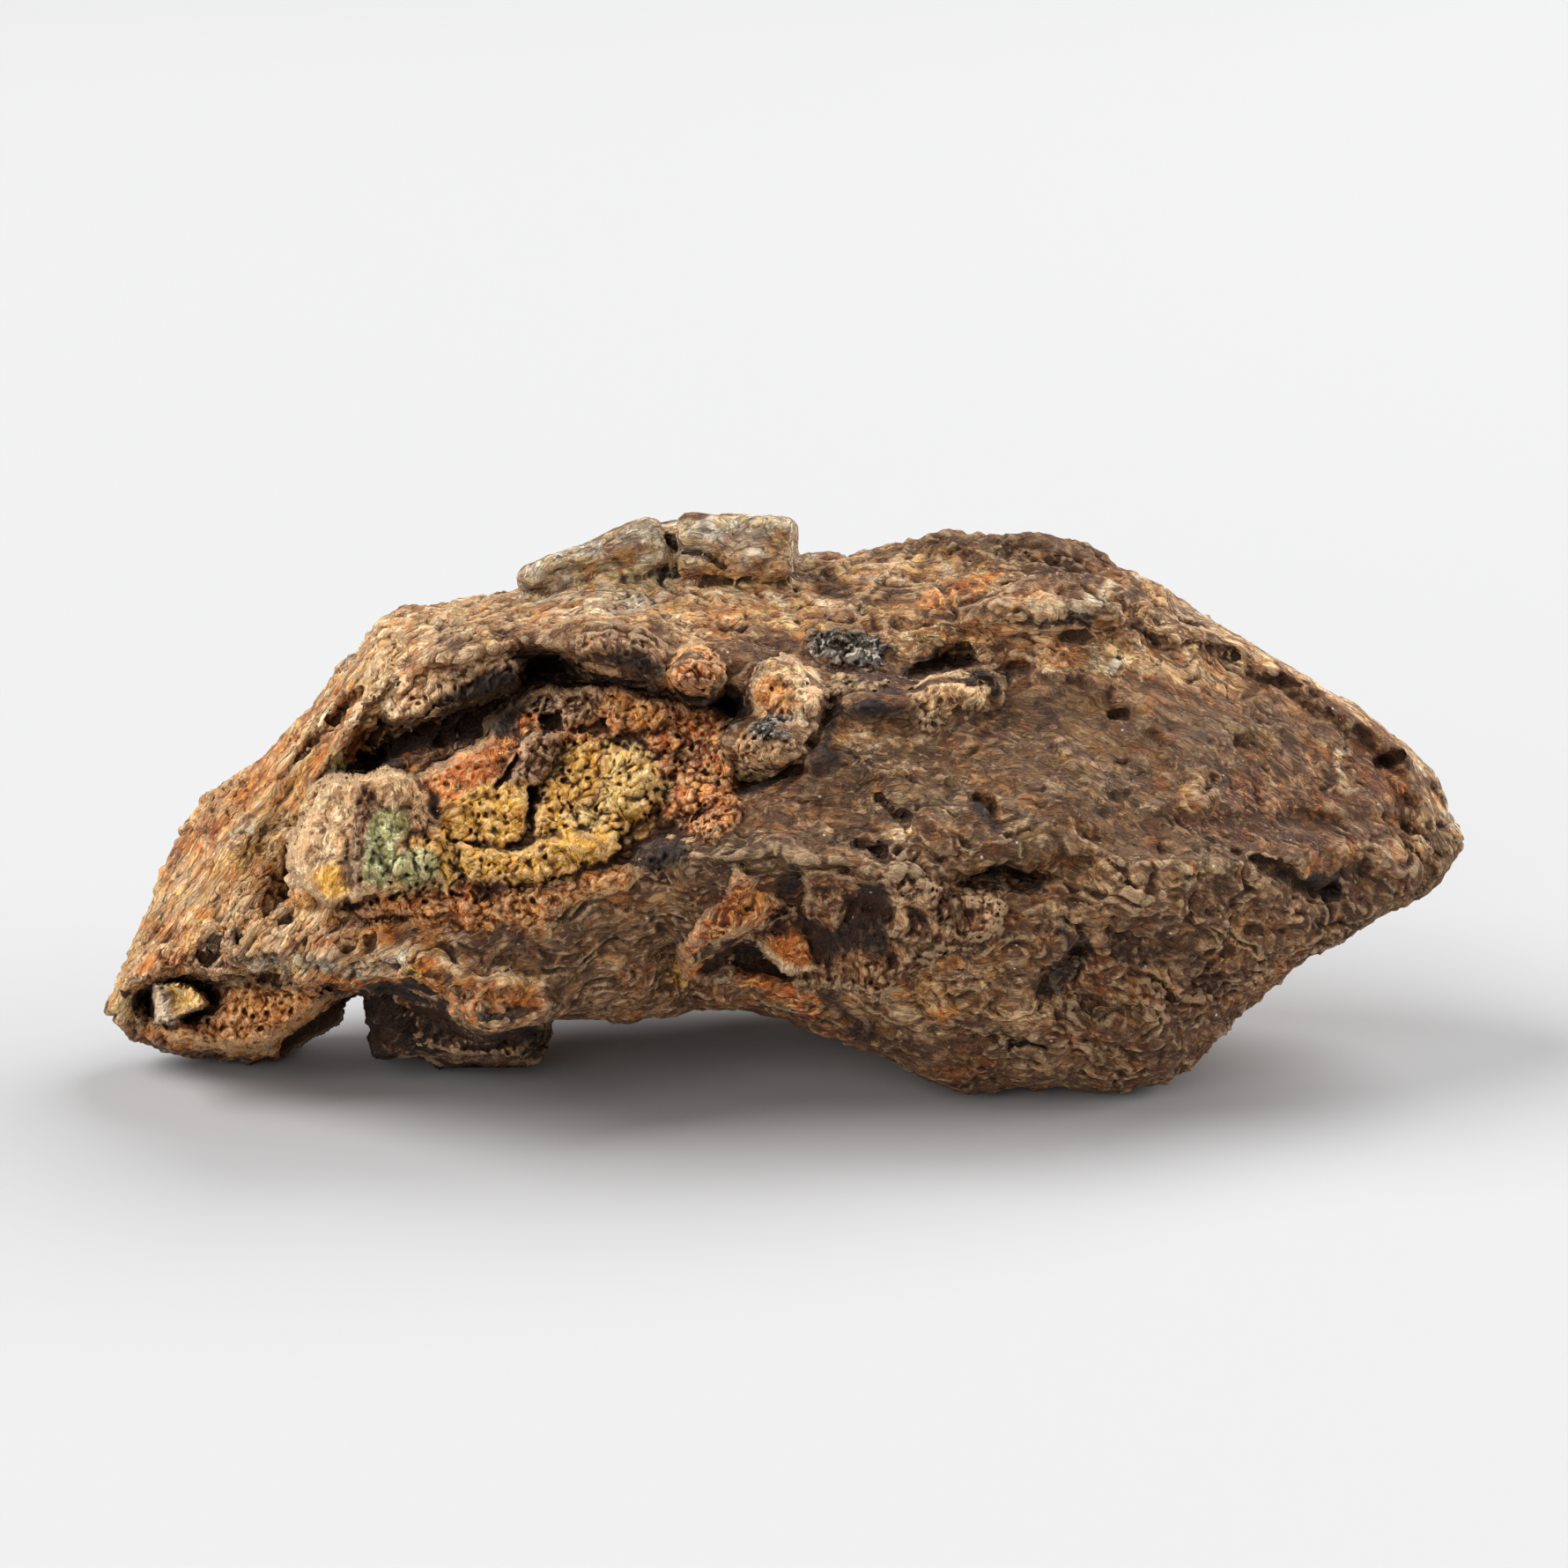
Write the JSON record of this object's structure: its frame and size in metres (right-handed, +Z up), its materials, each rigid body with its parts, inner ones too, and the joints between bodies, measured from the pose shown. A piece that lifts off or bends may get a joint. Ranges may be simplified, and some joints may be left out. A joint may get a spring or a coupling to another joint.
{
  "type": "pallasite meteorite",
  "caption": "Weathered stony-iron meteorite fragment with a deep rusty hollow, a torn edge and flat-worn feet, for display.",
  "frame": {"origin": "centre of the bounding box at the level of the surface that the stone lies on", "axes": "+X along the stone to its right end as seen from the broad front face, +Y from that face to the back, +Z up"},
  "size_m": [0.0598, 0.0254, 0.0234],
  "materials": {
    "meteorite": "rough, rusted, from ochre through brown to black, with yellow and orange crumbs in the hollow and a green stain on its lip"
  },
  "bodies": {
    "root": {"meteorite": "meteorite"}
  },
  "joints": []
}
